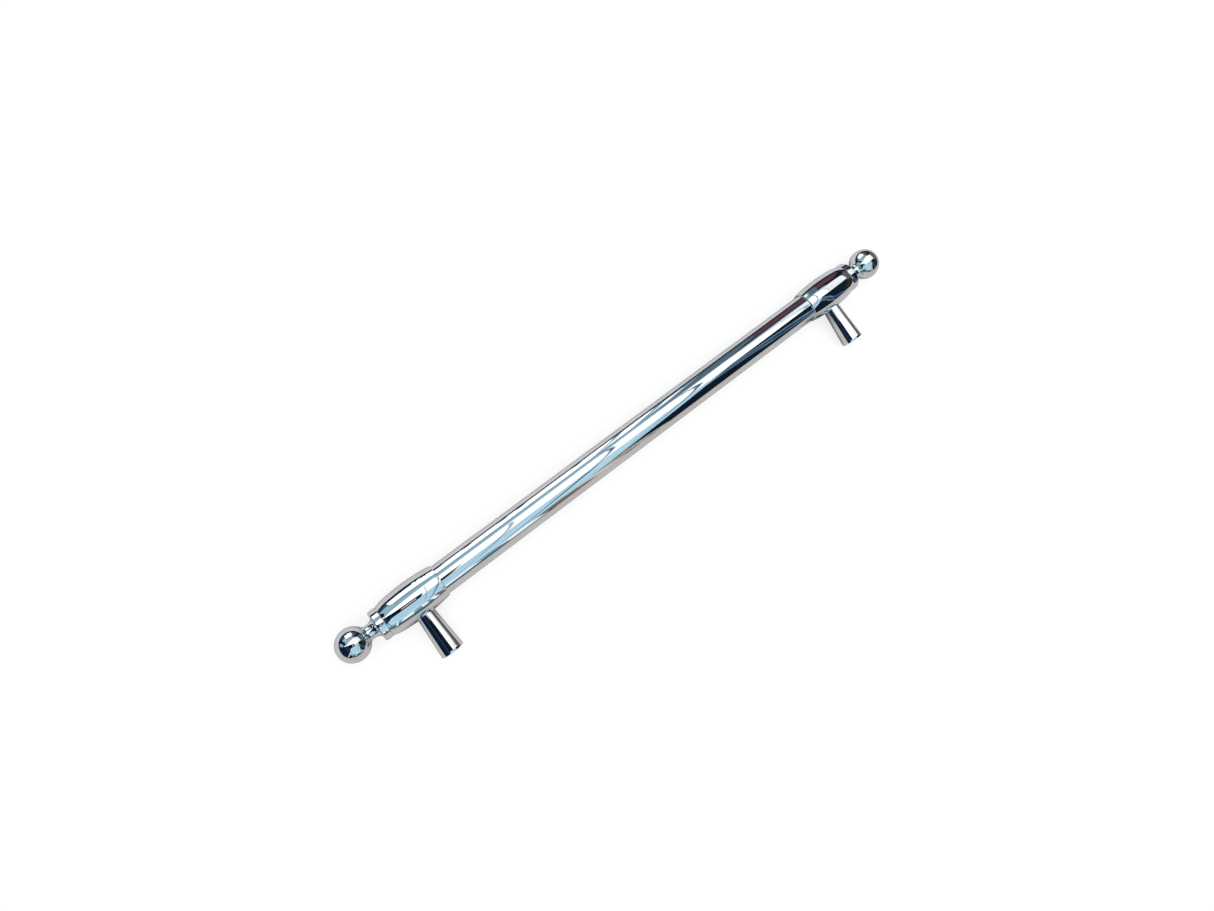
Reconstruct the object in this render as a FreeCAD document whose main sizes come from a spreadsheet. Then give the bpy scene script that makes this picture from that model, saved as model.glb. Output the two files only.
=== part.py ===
import FreeCAD, Part
import math
import os

import Sketcher

# A chrome bar handle. The row frame is in millimetres: X along the bar, Y from the front of the handle to
# the wall, Z up. The origin is on the wall plane, midway between the two feet.
# Each end has the same pieces. They are drawn once, for an end whose X points outwards, and placed twice.

DRIVING_SIZES = [
    ("post_span", 450.0),            # between the axes of the two posts
    ("standoff", 50.0),              # from the wall plane to the bar's axis
    ("tube_d", 25.4),
    ("tube_wall", 1.2),
    ("tube_overlap", 18.0),          # the tube runs on this far past a post's axis
    ("tube_gap", 0.1),               # between the tube and the socket's bore
    ("mouth_inset", 23.5),           # from a post's axis back to the socket's mouth
    ("mouth_d", 27.6),
    ("crown_shift", 1.0),            # the socket is fattest this far outside the post's axis
    ("crown_d", 31.6),
    ("socket_reach", 27.8),          # from a post's axis out to the socket's end
    ("socket_end_d", 25.8),
    ("knee_run", 18.0),              # from the crown out to where the socket starts to round down
    ("knee_drop", 0.95),             # and how far its radius has fallen there
    ("end_wall_gap", 0.6),           # between the tube's end and the socket's end wall
    ("mouth_round", 0.5),
    ("joint_chamfer", 0.4),
    ("ring_inset", 4.0),             # from the mouth to the ring's groove
    ("ring_width", 1.8),
    ("ring_depth", 0.75),
    ("ring_gap", 0.05),
    ("plug_gap", 0.05),
    ("plug_inner_reach", 13.0),      # the plug starts this far inside the post's axis
    ("plug_floor_reach", 4.5),       # its axial hole ends this far outside the post's axis
    ("collar_length", 6.9),
    ("collar_d", 25.8),              # at its two ends
    ("collar_bulge", 28.0),          # radius of its slightly crowned outside
    ("collar_round", 1.5),
    ("ball_d", 27.6),
    ("ball_reach", 55.8),            # from a post's axis out to the ball's centre
    ("neck_d", 12.0),
    ("neck_blend", 4.0),             # hollow radius between neck and ball
    ("flare_d", 16.6),               # the neck's foot, which spreads against the collar
    ("flare_length", 5.5),
    ("finial_hole_depth", 15.8),
    ("stud_d", 6.0),
    ("stud_length", 45.0),
    ("stud_chamfer", 0.6),
    ("thread_gap", 0.05),            # radial, between a screw and its tapped hole
    ("screw_gap", 0.3),              # radial, between a screw and its clearance hole
    ("post_foot_d", 19.7),
    ("post_top_d", 14.8),
    ("post_top_sink", 3.0),          # the uncut post runs on this far into the socket
    ("foot_chamfer", 0.4),
    ("post_bore_d", 9.5),
    ("shoulder_drop", 21.0),         # from the bar's axis to the shoulder inside the post
    ("post_screw_d", 5.0),
    ("post_screw_length", 16.0),
    ("screw_head_d", 8.5),
    ("screw_head_height", 5.0),
    ("key_size", 4.0),
    ("key_depth", 2.5),
    ("washer_inner_d", 5.2),
    ("washer_outer_d", 8.8),
    ("washer_height", 1.2),
    ("washer_slit", 0.8),
    ("insert_length", 14.0),
    ("insert_hole_d", 3.3),          # tapping size of an M4 thread
    ("insert_chamfer", 0.5),
]

SIDES = {"right": 1, "left": -1}
HALF_TURN = 180

doc = FreeCAD.newDocument("bar_handle")
sheet = doc.addObject("Spreadsheet::Sheet", "sizes")
subparts = []


class Size:
    """A length that carries both its value and the spreadsheet formula that gives it."""

    def __init__(self, formula, value):
        self.formula = str(formula)
        self.value = float(value)

    @staticmethod
    def of(thing):
        return thing if isinstance(thing, Size) else Size(thing, thing)

    def joined(self, sign, other, value):
        return Size(f"({self.formula} {sign} {other.formula})", value)

    def __add__(self, other):
        other = Size.of(other)
        return self.joined("+", other, self.value + other.value)

    def __sub__(self, other):
        other = Size.of(other)
        return self.joined("-", other, self.value - other.value)

    def __mul__(self, other):
        other = Size.of(other)
        return self.joined("*", other, self.value * other.value)

    def __truediv__(self, other):
        other = Size.of(other)
        return self.joined("/", other, self.value / other.value)

    def root(self):
        return Size(f"sqrt({self.formula})", math.sqrt(self.value))


def write_sheet():
    """Put each driving size in a cell with an alias, and return them by name."""
    sizes = {}
    for row, (alias, value) in enumerate(DRIVING_SIZES, start=1):
        sheet.set(f"A{row}", alias)
        sheet.set(f"B{row}", str(value))
        sheet.setAlias(f"B{row}", alias)
        sizes[alias] = Size(f"sizes.{alias}", value)
    doc.recompute()
    return sizes


size = write_sheet()

# Distances along X from the middle of the bar, on the end whose X points outwards
post_x = size["post_span"] / 2
tube_end_x = post_x + size["tube_overlap"]
mouth_x = post_x - size["mouth_inset"]
crown_x = post_x + size["crown_shift"]
socket_end_x = post_x + size["socket_reach"]
collar_end_x = socket_end_x + size["collar_length"]
ball_x = post_x + size["ball_reach"]

# Radii
tube_r = size["tube_d"] / 2
tube_inner_r = tube_r - size["tube_wall"]
socket_bore_r = tube_r + size["tube_gap"]
plug_r = tube_inner_r - size["plug_gap"]
stud_r = size["stud_d"] / 2
stud_thread_r = stud_r + size["thread_gap"]
stud_clear_r = stud_r + size["screw_gap"]
post_screw_r = size["post_screw_d"] / 2
post_thread_r = post_screw_r + size["thread_gap"]
post_clear_r = post_screw_r + size["screw_gap"]
post_bore_r = size["post_bore_d"] / 2


# Drawing helpers

def new_body(label):
    body = doc.addObject("PartDesign::Body", label)
    body.Label = label
    subparts.append(body)
    return body


def new_sketch(body, name, plane):
    """An empty sketch on one of the body's own origin planes."""
    sketch = body.newObject("Sketcher::SketchObject", name)
    planes = {feature.Role: feature for feature in body.Origin.OriginFeatures}
    sketch.AttachmentSupport = [(planes[plane], "")]
    sketch.MapMode = "FlatFace"
    return sketch


def arc_between(start, end, radius, side):
    """The short arc from start to end that bulges to the left (side 1) or right (side -1) of its run."""
    run = end - start
    left = FreeCAD.Vector(-run.y, run.x, 0) / run.Length
    rise = math.sqrt(radius ** 2 - (run.Length / 2) ** 2)
    centre = (start + end) / 2 - left * (side * rise)
    first, last = (end, start) if side > 0 else (start, end)
    angles = [math.atan2(point.y - centre.y, point.x - centre.x) for point in (first, last)]
    return Part.ArcOfCircle(Part.Circle(centre, FreeCAD.Vector(0, 0, 1), radius), *angles)


def fix_distance(sketch, kind, edge, point, distance):
    """Hold one coordinate of an edge's end point. A distance of 0 puts the point on the axis."""
    if distance.value == 0:
        axis = {"DistanceX": -2, "DistanceY": -1}[kind]
        sketch.addConstraint(Sketcher.Constraint("PointOnObject", edge, point, axis))
        return
    index = sketch.addConstraint(Sketcher.Constraint(kind, -1, 1, edge, point, distance.value))
    sketch.setExpression(f"Constraints[{index}]", distance.formula)


def draw_outline(sketch, corners):
    """Draw a closed outline. A corner is (x, y), or (x, y, radius, side) where an arc leaves it."""
    corners = [tuple(Size.of(number) for number in corner) for corner in corners]
    places = [FreeCAD.Vector(corner[0].value, corner[1].value, 0) for corner in corners]
    first_edge = sketch.GeometryCount
    ends = []
    for number, corner in enumerate(corners):
        start, end = places[number], places[(number + 1) % len(places)]
        if len(corner) == 2:
            sketch.addGeometry(Part.LineSegment(start, end), False)
            ends.append((1, 2))
        else:
            radius, side = corner[2], corner[3].value
            sketch.addGeometry(arc_between(start, end, radius.value, side), False)
            ends.append((2, 1) if side > 0 else (1, 2))
    for number, corner in enumerate(corners):
        edge = first_edge + number
        following = (number + 1) % len(corners)
        meeting = (edge, ends[number][1], first_edge + following, ends[following][0])
        sketch.addConstraint(Sketcher.Constraint("Coincident", *meeting))
        fix_distance(sketch, "DistanceX", edge, ends[number][0], corner[0])
        fix_distance(sketch, "DistanceY", edge, ends[number][0], corner[1])
        if len(corner) == 4:
            index = sketch.addConstraint(Sketcher.Constraint("Radius", edge, corner[2].value))
            sketch.setExpression(f"Constraints[{index}]", corner[2].formula)


def draw_circle(sketch, centre_x, radius):
    """Draw a circle whose centre is on the sketch's first axis."""
    place = FreeCAD.Vector(centre_x.value, 0, 0)
    edge = sketch.addGeometry(Part.Circle(place, FreeCAD.Vector(0, 0, 1), radius.value), False)
    fix_distance(sketch, "DistanceX", edge, 3, centre_x)
    fix_distance(sketch, "DistanceY", edge, 3, Size.of(0))
    index = sketch.addConstraint(Sketcher.Constraint("Radius", edge, radius.value))
    sketch.setExpression(f"Constraints[{index}]", radius.formula)


def turn(body, corners, axis):
    """Turn an outline a full circle about the sketch's own axis, H_Axis or V_Axis."""
    sketch = new_sketch(body, "outline", "XY_Plane")
    draw_outline(sketch, corners)
    feature = body.newObject("PartDesign::Revolution", "turned")
    feature.Profile = sketch
    feature.ReferenceAxis = (sketch, [axis])
    feature.Angle = 360
    doc.recompute()


def cut_checked(body, feature, before):
    """Recompute and make sure that the cut has taken material away."""
    doc.recompute()
    if not body.Shape.Volume < before:
        raise RuntimeError(f"{feature.Name} cuts nothing from {body.Label}")


def bore_to_wall(body, centre_x, radius, depth):
    """Cut a round hole from the bar's axis out towards the wall, which is +Y."""
    before = body.Shape.Volume
    sketch = new_sketch(body, "hole_outline", "XZ_Plane")
    draw_circle(sketch, centre_x, radius)
    feature = body.newObject("PartDesign::Pocket", "hole")
    feature.Profile = sketch
    feature.setExpression("Length", depth.formula)
    cut_checked(body, feature, before)


def ring_edges(body, axis, place, radius):
    """Names of the circular edges of one radius at one place along an axis."""
    names = []
    for number, edge in enumerate(body.Shape.Edges, start=1):
        curve = edge.Curve
        if not isinstance(curve, Part.Circle) or abs(curve.Radius - radius.value) > 1e-4:
            continue
        if abs(getattr(body.Placement.inverse().multVec(curve.Center), axis) - place.value) < 1e-4:
            names.append(f"Edge{number}")
    return names


def dress_edges(body, kind, edges, reach):
    """Fillet or chamfer some edges of a body."""
    solid = body.Tip
    feature = body.newObject(f"PartDesign::{kind}", kind.lower())
    feature.Base = (solid, edges)
    feature.setExpression({"Fillet": "Radius", "Chamfer": "Size"}[kind], reach.formula)
    doc.recompute()


# Placing

def place_on_bar(body, side):
    """Put a piece on the bar's axis. On the left it is turned half round the vertical post line."""
    angle = 0 if SIDES[side] > 0 else HALF_TURN
    body.Placement.Rotation = FreeCAD.Rotation(FreeCAD.Vector(0, 1, 0), angle)
    body.setExpression("Placement.Base.y", f"-{size['standoff'].formula}")


def place_on_post(body, side):
    """Put a piece on a post's axis, with its own Y pointing from the wall to the bar."""
    axis = FreeCAD.Vector(1, 0, 0) if SIDES[side] > 0 else FreeCAD.Vector(0, 0, 1)
    body.Placement.Rotation = FreeCAD.Rotation(axis, HALF_TURN)
    body.setExpression("Placement.Base.x", f"{SIDES[side]} * {post_x.formula}")


# Pieces on the bar's axis

def make_grip_tube():
    body = new_body("grip_tube")
    sketch = new_sketch(body, "rings", "YZ_Plane")
    draw_circle(sketch, Size.of(0), tube_r)
    draw_circle(sketch, Size.of(0), tube_inner_r)
    feature = body.newObject("PartDesign::Pad", "tube")
    feature.Profile = sketch
    feature.Midplane = True
    feature.setExpression("Length", (tube_end_x * 2).formula)
    doc.recompute()
    for sign in SIDES.values():
        bore_to_wall(body, post_x * sign, post_clear_r, size["tube_d"])
    body.setExpression("Placement.Base.y", f"-{size['standoff'].formula}")


def bulge_radius(run, drop):
    """Radius of an arc that leaves a crown level and falls by drop over a run along X."""
    return (run * run + drop * drop) / (drop * 2)


def barrel_curve():
    """The socket's outside from mouth to end: arcs that meet level at the crown and in line at the knee."""
    mouth_r = size["mouth_d"] / 2
    crown_r = size["crown_d"] / 2
    end_r = size["socket_end_d"] / 2
    knee_run, knee_drop = size["knee_run"], size["knee_drop"]
    knee_x = crown_x + knee_run
    knee_r = crown_r - knee_drop
    inner_radius = bulge_radius(crown_x - mouth_x, crown_r - mouth_r)
    outer_radius = bulge_radius(knee_run, knee_drop)
    run, drop = socket_end_x - knee_x, knee_r - end_r
    fall_across_run = (drop * (outer_radius - knee_drop) - run * knee_run) / outer_radius
    end_radius = (run * run + drop * drop) / (fall_across_run * 2)
    return [
        (mouth_x, mouth_r, inner_radius, 1),
        (crown_x, crown_r, outer_radius, 1),
        (knee_x, knee_r, end_radius, 1),
        (socket_end_x, end_r),
    ]


def make_socket(side):
    body = new_body(f"socket_{side}")
    floor_x = tube_end_x + size["end_wall_gap"]
    groove_start_x = mouth_x + size["ring_inset"]
    groove_end_x = groove_start_x + size["ring_width"]
    groove_r = socket_bore_r + size["ring_depth"]
    inside = [
        (socket_end_x, stud_clear_r),
        (floor_x, stud_clear_r),
        (floor_x, socket_bore_r),
        (groove_end_x, socket_bore_r),
        (groove_end_x, groove_r),
        (groove_start_x, groove_r),
        (groove_start_x, socket_bore_r),
        (mouth_x, socket_bore_r),
    ]
    turn(body, barrel_curve() + inside, "H_Axis")
    bore_to_wall(body, post_x, post_clear_r, size["crown_d"])
    mouth_edges = ring_edges(body, "x", mouth_x, size["mouth_d"] / 2)
    dress_edges(body, "Fillet", mouth_edges, size["mouth_round"])
    end_edges = ring_edges(body, "x", socket_end_x, size["socket_end_d"] / 2)
    dress_edges(body, "Chamfer", end_edges, size["joint_chamfer"])
    place_on_bar(body, side)


def make_tube_ring(side):
    body = new_body(f"tube_ring_{side}")
    start_x = mouth_x + size["ring_inset"] + size["ring_gap"]
    end_x = start_x + size["ring_width"] - size["ring_gap"] * 2
    outer_r = socket_bore_r + size["ring_depth"] - size["ring_gap"]
    corners = [(start_x, tube_r), (start_x, outer_r), (end_x, outer_r), (end_x, tube_r)]
    turn(body, corners, "H_Axis")
    place_on_bar(body, side)


def make_tube_plug(side):
    body = new_body(f"tube_plug_{side}")
    start_x = post_x - size["plug_inner_reach"]
    floor_x = post_x + size["plug_floor_reach"]
    corners = [
        (start_x, 0),
        (start_x, plug_r),
        (tube_end_x, plug_r),
        (tube_end_x, stud_thread_r),
        (floor_x, stud_thread_r),
        (floor_x, 0),
    ]
    turn(body, corners, "H_Axis")
    bore_to_wall(body, post_x, post_thread_r, tube_r)
    place_on_bar(body, side)


def make_collar(side):
    body = new_body(f"collar_{side}")
    outer_r = size["collar_d"] / 2
    corners = [
        (socket_end_x, stud_clear_r),
        (socket_end_x, outer_r, size["collar_bulge"], 1),
        (collar_end_x, outer_r),
        (collar_end_x, stud_clear_r),
    ]
    turn(body, corners, "H_Axis")
    dress_edges(body, "Chamfer", ring_edges(body, "x", socket_end_x, outer_r), size["joint_chamfer"])
    dress_edges(body, "Fillet", ring_edges(body, "x", collar_end_x, outer_r), size["collar_round"])
    place_on_bar(body, side)


def make_finial(side):
    """Flared foot, neck, hollow blend and ball, with a blind tapped hole from the foot."""
    body = new_body(f"finial_{side}")
    ball_r = size["ball_d"] / 2
    neck_r = size["neck_d"] / 2
    blend = size["neck_blend"]
    flare_r = size["flare_d"] / 2
    flare_curve = bulge_radius(size["flare_length"], flare_r - neck_r)
    centres_r = ball_r + blend
    centres_y = neck_r + blend
    centres_x = (centres_r * centres_r - centres_y * centres_y).root()
    on_ball = ball_r / centres_r
    corners = [
        (collar_end_x, stud_thread_r),
        (collar_end_x, flare_r, flare_curve, -1),
        (collar_end_x + size["flare_length"], neck_r),
        (ball_x - centres_x, neck_r, blend, -1),
        (ball_x - centres_x * on_ball, centres_y * on_ball, ball_r, 1),
        (ball_x + ball_r, 0),
        (collar_end_x + size["finial_hole_depth"], 0),
        (collar_end_x + size["finial_hole_depth"], stud_thread_r),
    ]
    turn(body, corners, "H_Axis")
    place_on_bar(body, side)


def make_finial_stud(side):
    body = new_body(f"finial_stud_{side}")
    start_x = post_x + size["plug_floor_reach"] + size["stud_chamfer"]
    end_x = start_x + size["stud_length"]
    chamfer = size["stud_chamfer"]
    corners = [
        (start_x, 0),
        (start_x, stud_r - chamfer),
        (start_x + chamfer, stud_r),
        (end_x - chamfer, stud_r),
        (end_x, stud_r - chamfer),
        (end_x, 0),
    ]
    turn(body, corners, "H_Axis")
    place_on_bar(body, side)


# Pieces on a post's axis

def cut_saddle(body):
    """Hollow the post's top to the socket's outside, turned about the bar's axis."""
    before = body.Shape.Volume
    sketch = new_sketch(body, "saddle_outline", "XY_Plane")
    curve = [(corner[0] - post_x, size["standoff"] - corner[1]) + corner[2:] for corner in barrel_curve()]
    mirrored = [corner[:3] + (-1,) if len(corner) == 4 else corner for corner in curve]
    bar_axis = [(socket_end_x - post_x, size["standoff"]), (mouth_x - post_x, size["standoff"])]
    draw_outline(sketch, mirrored + bar_axis)
    axis_ends = [FreeCAD.Vector(corner[0].value, corner[1].value, 0) for corner in bar_axis]
    axis_line = sketch.addGeometry(Part.LineSegment(*axis_ends), True)
    for point, corner in enumerate(bar_axis, start=1):
        fix_distance(sketch, "DistanceX", axis_line, point, corner[0])
        fix_distance(sketch, "DistanceY", axis_line, point, corner[1])
    feature = body.newObject("PartDesign::Groove", "saddle")
    feature.Profile = sketch
    feature.ReferenceAxis = (sketch, ["Axis0"])
    feature.Angle = 360
    cut_checked(body, feature, before)


def make_post(side):
    body = new_body(f"post_{side}")
    foot_r = size["post_foot_d"] / 2
    top_y = size["standoff"] - size["crown_d"] / 2 + size["post_top_sink"]
    shoulder_y = size["standoff"] - size["shoulder_drop"]
    corners = [
        (post_bore_r, 0),
        (foot_r - size["foot_chamfer"], 0),
        (foot_r, size["foot_chamfer"]),
        (size["post_top_d"] / 2, top_y),
        (post_clear_r, top_y),
        (post_clear_r, shoulder_y),
        (post_bore_r, shoulder_y),
    ]
    turn(body, corners, "V_Axis")
    cut_saddle(body)
    place_on_post(body, side)


def head_seat_y():
    """The cap screw's head bears on the washer here."""
    return size["standoff"] - size["shoulder_drop"] - size["washer_height"]


def make_post_screw(side):
    body = new_body(f"post_screw_{side}")
    head_r = size["screw_head_d"] / 2
    seat_y = head_seat_y()
    head_y = seat_y - size["screw_head_height"]
    tip_y = seat_y + size["post_screw_length"]
    chamfer = size["stud_chamfer"]
    corners = [
        (0, head_y),
        (head_r - chamfer, head_y),
        (head_r, head_y + chamfer),
        (head_r, seat_y),
        (post_screw_r, seat_y),
        (post_screw_r, tip_y - chamfer),
        (post_screw_r - chamfer, tip_y),
        (0, tip_y),
    ]
    turn(body, corners, "V_Axis")
    before = body.Shape.Volume
    sketch = new_sketch(body, "key_outline", "XZ_Plane")
    sketch.setExpression("AttachmentOffset.Base.z", f"-{head_y.formula}")
    corner_r = size["key_size"] / 2 / math.cos(math.pi / 6)
    turns = [math.pi * step / 3 + math.pi / 6 for step in range(6)]
    draw_outline(sketch, [(corner_r * math.cos(angle), corner_r * math.sin(angle)) for angle in turns])
    feature = body.newObject("PartDesign::Pocket", "key_socket")
    feature.Profile = sketch
    feature.setExpression("Length", size["key_depth"].formula)
    cut_checked(body, feature, before)
    place_on_post(body, side)


def make_post_lock_washer(side):
    body = new_body(f"post_lock_washer_{side}")
    inner_r = size["washer_inner_d"] / 2
    outer_r = size["washer_outer_d"] / 2
    low_y = head_seat_y()
    high_y = low_y + size["washer_height"]
    turn(body, [(inner_r, low_y), (outer_r, low_y), (outer_r, high_y), (inner_r, high_y)], "V_Axis")
    before = body.Shape.Volume
    sketch = new_sketch(body, "slit_outline", "XZ_Plane")
    half_slit = size["washer_slit"] / 2
    slit = [
        (0, half_slit * -1),
        (outer_r * 2, half_slit * -1),
        (outer_r * 2, half_slit),
        (0, half_slit),
    ]
    draw_outline(sketch, slit)
    feature = body.newObject("PartDesign::Pocket", "slit")
    feature.Profile = sketch
    feature.setExpression("Length", size["standoff"].formula)
    cut_checked(body, feature, before)
    place_on_post(body, side)


def make_foot_insert(side):
    body = new_body(f"foot_insert_{side}")
    hole_r = size["insert_hole_d"] / 2
    length = size["insert_length"]
    chamfer = size["insert_chamfer"]
    corners = [
        (hole_r + chamfer, 0),
        (post_bore_r, 0),
        (post_bore_r, length - chamfer),
        (post_bore_r - chamfer, length),
        (hole_r, length),
        (hole_r, chamfer),
    ]
    turn(body, corners, "V_Axis")
    place_on_post(body, side)


def check_document():
    """Stop if any object failed or any sub-part is not one valid solid."""
    doc.recompute()
    for thing in doc.Objects:
        if {"Invalid", "Error"} & set(thing.State):
            raise RuntimeError(f"{thing.Name} failed: {thing.State}")
        if thing.TypeId == "Sketcher::SketchObject" and not thing.FullyConstrained:
            raise RuntimeError(f"{thing.Name} is not fully constrained")
    for subpart in subparts:
        shape = subpart.Shape
        if shape.isNull() or not shape.isValid() or len(shape.Solids) != 1:
            raise RuntimeError(f"{subpart.Label} is not one valid solid")


def write_steps():
    os.makedirs("parts", exist_ok=True)
    for subpart in subparts:
        subpart.Shape.exportStep(f"parts/{subpart.Label}.step")
        box = subpart.Shape.BoundBox
        print(f"{subpart.Label}: {subpart.Shape.Volume / 1000:.2f} cm3, X {box.XMin:.2f} to {box.XMax:.2f}")


make_grip_tube()
for side in SIDES:
    make_socket(side)
    make_tube_ring(side)
    make_tube_plug(side)
    make_collar(side)
    make_finial(side)
    make_finial_stud(side)
    make_post(side)
    make_post_screw(side)
    make_post_lock_washer(side)
    make_foot_insert(side)
check_document()
write_steps()
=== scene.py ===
import math

import bmesh
import bpy
from mathutils import Matrix, Vector


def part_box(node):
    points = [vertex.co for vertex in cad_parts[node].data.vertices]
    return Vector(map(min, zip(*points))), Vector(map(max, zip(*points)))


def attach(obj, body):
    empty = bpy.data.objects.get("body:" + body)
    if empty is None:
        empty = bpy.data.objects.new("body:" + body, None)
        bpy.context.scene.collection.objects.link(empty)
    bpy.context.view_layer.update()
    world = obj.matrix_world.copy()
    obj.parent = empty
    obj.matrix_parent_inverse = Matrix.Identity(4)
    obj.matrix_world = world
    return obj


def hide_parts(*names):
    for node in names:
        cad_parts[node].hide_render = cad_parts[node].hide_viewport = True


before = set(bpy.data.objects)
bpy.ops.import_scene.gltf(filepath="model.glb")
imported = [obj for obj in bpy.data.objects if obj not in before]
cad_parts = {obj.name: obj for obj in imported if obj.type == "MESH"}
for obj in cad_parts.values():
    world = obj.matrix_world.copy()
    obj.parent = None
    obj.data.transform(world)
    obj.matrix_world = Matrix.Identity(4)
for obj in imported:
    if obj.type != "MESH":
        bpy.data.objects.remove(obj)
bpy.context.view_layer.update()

# A chrome bar handle, laid on a pale table. Everything is in metres, in the frame of the CAD model: X along
# the bar, Y from the front of the handle to the wall, Z up.

MM = 0.001
BODY = "root"
SIDES = {"right": 1, "left": -1}
FULL_TURN = 2 * math.pi
SEGMENTS = 144                       # around the large turned pieces
POST_RINGS = 20                      # along a post
THREAD_SEGMENTS = 48                 # around studs and bushes
HEAD_SEGMENTS = 96                   # around cap screws, two to a knurl
RINGS_PER_PITCH = 8                  # along a thread
ON_AXIS = 1e-7                       # an outline point with a smaller radius is one vertex
SHARP_DEG = 38                       # edges that turn more than this stay sharp

# Sizes read from the frame
tube_low, tube_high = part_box("grip_tube")
socket_low, socket_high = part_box("socket_right")
collar_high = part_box("collar_right")[1]
finial_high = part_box("finial_right")[1]
post_low, post_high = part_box("post_right")
ring_low, ring_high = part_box("tube_ring_right")
insert_low, insert_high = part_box("foot_insert_right")
stud_low, stud_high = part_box("finial_stud_right")
screw_low, screw_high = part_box("post_screw_right")

BAR_Y = (tube_low.y + tube_high.y) / 2
TUBE_R = tube_high.z
TUBE_END_X = tube_high.x
MOUTH_X = socket_low.x
SOCKET_END_X = socket_high.x
CROWN_R = socket_high.z
COLLAR_END_X = collar_high.x
BALL_R = finial_high.z
TIP_X = finial_high.x
POST_X = (post_low.x + post_high.x) / 2
FOOT_R = post_high.z
BORE_R = insert_high.z
INSERT_LENGTH = -insert_low.y
STANDOFF = -BAR_Y

# Sizes that a box doesn't give, the same as in the CAD model
TUBE_WALL = 1.2 * MM
MOUTH_R = 13.8 * MM
SOCKET_END_R = 12.9 * MM
CROWN_SHIFT = 1.0 * MM               # the socket is fattest this far outside the post's axis
KNEE_RUN = 18.0 * MM                 # from the crown out to where the socket starts to round down
KNEE_DROP = 0.95 * MM
BORE_GAP = 0.1 * MM
SOCKET_FLOOR_GAP = 0.6 * MM          # between the tube's end and the socket's end wall
NECK_R = 6.0 * MM
NECK_BLEND = 4.0 * MM
FLARE_R = 8.3 * MM
FLARE_LENGTH = 5.5 * MM
GROOVE_GAP = 0.05 * MM               # between the ring and its groove
RING_GAP = 0.02 * MM                 # between the ring and the tube
RING_ROUND = 0.25 * MM
COLLAR_END_R = 12.9 * MM
COLLAR_BULGE = 28.0 * MM             # radius of the collar's crowned outside
COLLAR_ROUND = 1.5 * MM
FINIAL_HOLE_DEPTH = 15.8 * MM
STUD_HOLE_R = 3.05 * MM
STUD_CLEAR_R = 3.3 * MM
POST_TOP_R = 7.4 * MM
POST_TOP_HEIGHT = 37.2 * MM          # where the post's cone has that radius, from the wall
SHOULDER_HEIGHT = 29.0 * MM
SCREW_CLEAR_R = 2.8 * MM
EDGE = 0.4 * MM                      # the small rounding on turned edges
EDGE_GUARD = 0.1 * MM                # a ring this close to a chamfer keeps the smooth side smooth

CROWN_X = POST_X + CROWN_SHIFT


# Outlines: lists of (distance along the axis, radius)

def arc(centre, radius, start_deg, end_deg, steps):
    """Points of an arc, both ends included."""
    turns = [math.radians(start_deg + (end_deg - start_deg) * n / steps) for n in range(steps + 1)]
    return [(centre[0] + radius * math.cos(a), centre[1] + radius * math.sin(a)) for a in turns]


def straight(start, end, steps):
    """Points from start up to, but not including, end."""
    run, rise = end[0] - start[0], end[1] - start[1]
    return [(start[0] + run * n / steps, start[1] + rise * n / steps) for n in range(steps)]


def bulge_radius(run, drop):
    """Radius of an arc that starts level and drops this far over a run."""
    return (run * run + drop * drop) / (2 * drop)


INNER_BULGE = bulge_radius(CROWN_X - MOUTH_X, CROWN_R - MOUTH_R)
OUTER_BULGE = bulge_radius(KNEE_RUN, KNEE_DROP)


def end_rounding():
    """Centre and radius of the arc that carries the outer bulge on from the knee to the socket's end."""
    across, down = KNEE_RUN / OUTER_BULGE, 1 - KNEE_DROP / OUTER_BULGE
    run = SOCKET_END_X - CROWN_X - KNEE_RUN
    drop = CROWN_R - KNEE_DROP - SOCKET_END_R
    radius = (run * run + drop * drop) / (2 * (drop * down - run * across))
    centre_x = CROWN_X + KNEE_RUN - radius * across
    return centre_x, CROWN_R - KNEE_DROP - radius * down, radius


def barrel_radius(x):
    """Radius of the socket's outside at a distance x along the bar."""
    if x > CROWN_X + KNEE_RUN:
        centre_x, centre_r, radius = end_rounding()
        return centre_r + math.sqrt(radius * radius - (x - centre_x) ** 2)
    bulge = INNER_BULGE if x < CROWN_X else OUTER_BULGE
    run = x - CROWN_X
    return CROWN_R - bulge + math.sqrt(bulge * bulge - run * run)


# Mesh helpers

def along_bar(sign):
    """Places (distance from the middle, radius, angle) on the bar's axis, on the right or left side."""
    def place(along, radius, angle):
        return Vector((sign * along, BAR_Y + radius * math.cos(angle), radius * math.sin(angle)))
    return place


def along_post(sign):
    """Places (distance from the wall, radius, angle) on a post's axis."""
    def place(along, radius, angle):
        return Vector((sign * (POST_X + radius * math.cos(angle)), -along, radius * math.sin(angle)))
    return place


def turned(name, outline, place, closed=False, segments=SEGMENTS, shape=None):
    """Turn an outline about an axis. shape(number, along, radius, angle) may change a ring's points."""
    mesh = bmesh.new()
    rings = []
    for number, (along, radius) in enumerate(outline):
        if radius < ON_AXIS:
            rings.append([mesh.verts.new(place(along, 0, 0))])
            continue
        ring = []
        for step in range(segments):
            angle = FULL_TURN * step / segments
            spot = shape(number, along, radius, angle) if shape else (along, radius)
            ring.append(mesh.verts.new(place(*spot, angle)))
        rings.append(ring)
    pairs = list(zip(rings, rings[1:]))
    if closed:
        pairs.append((rings[-1], rings[0]))
    for first, second in pairs:
        for step in range(segments):
            following = (step + 1) % segments
            if len(first) == 1:
                mesh.faces.new((first[0], second[step], second[following]))
            elif len(second) == 1:
                mesh.faces.new((first[step], second[0], first[following]))
            else:
                mesh.faces.new((first[step], second[step], second[following], first[following]))
    return finished(name, mesh)


def linked(thing):
    """Put an object in the scene."""
    bpy.context.scene.collection.objects.link(thing)
    return thing


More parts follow.
